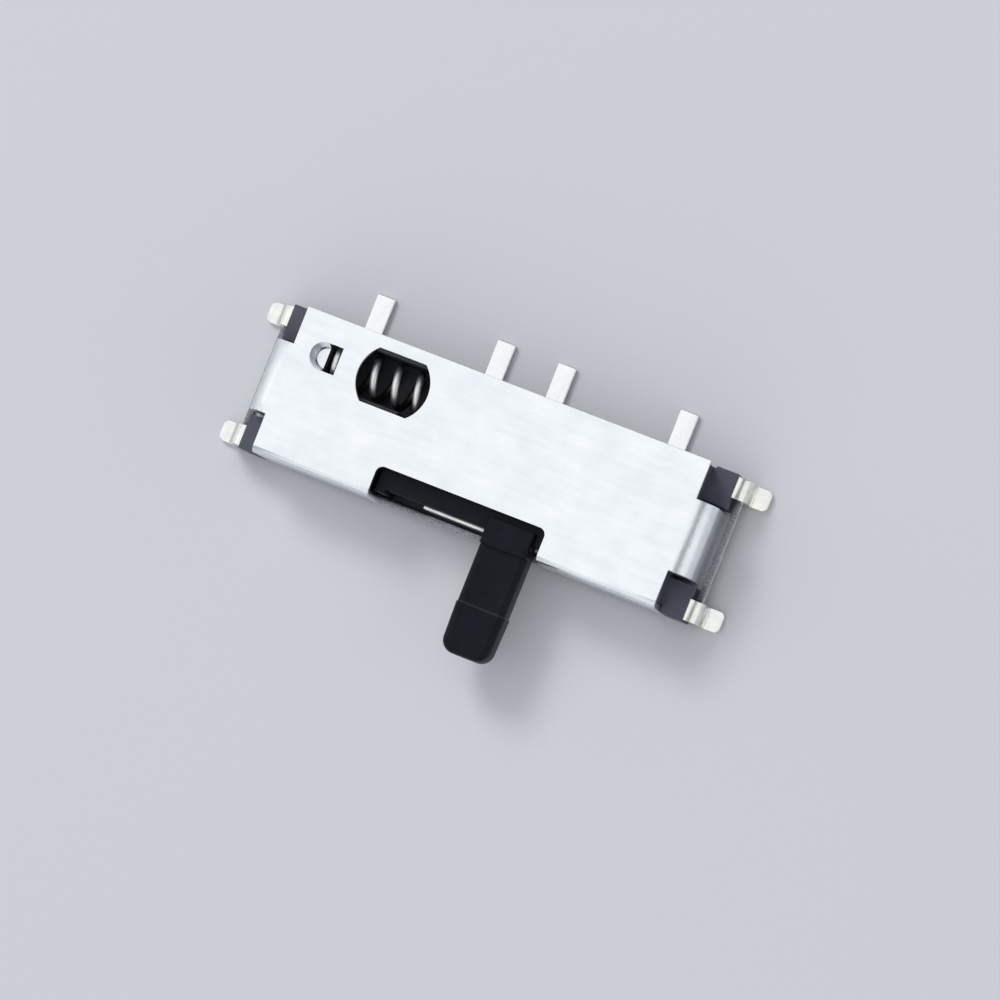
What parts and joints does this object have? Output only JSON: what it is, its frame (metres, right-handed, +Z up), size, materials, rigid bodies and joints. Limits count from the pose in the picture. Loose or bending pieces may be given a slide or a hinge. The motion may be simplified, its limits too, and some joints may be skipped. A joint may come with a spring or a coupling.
{
  "type": "spring-return slide switch",
  "caption": "Low surface-mount slide switch with a folded metal cover, a black base and a side knob that a coil spring returns to one end.",
  "frame": {"origin": "middle of the body on the board plane, under the base", "axes": "+X along the travel towards the end where the slider rests, +Y towards the leads, away from the knob, +Z up from the board"},
  "size_m": [0.0124, 0.007, 0.002],
  "materials": {
    "base_plastic": "fine moulded matt",
    "cover_sheet": "bright plated sheet with fine streaks along the body",
    "slider_plastic": "moulded satin",
    "contact_metal": "bright silver plating",
    "spring_wire": "drawn wire",
    "bracket_metal": "tin plating with a warm tint"
  },
  "bodies": {
    "housing": {"base": "base_plastic", "cover": "cover_sheet", "return_spring": "spring_wire", "terminal_1": "contact_metal", "terminal_2": "contact_metal", "terminal_3": "contact_metal", "terminal_4": "contact_metal", "solder_bracket_left": "bracket_metal", "solder_bracket_right": "bracket_metal"},
    "slider": {"slider": "slider_plastic", "wiper": "contact_metal"}
  },
  "joints": [
    {"name": "slider_travel", "type": "slide", "parent": "housing", "child": "slider", "axis": [-1, 0, 0], "range_m": [0, 0.0025], "stiffness_N_per_m": 480, "springref_m": -0.0017, "deforming": ["return_spring"]}
  ]
}
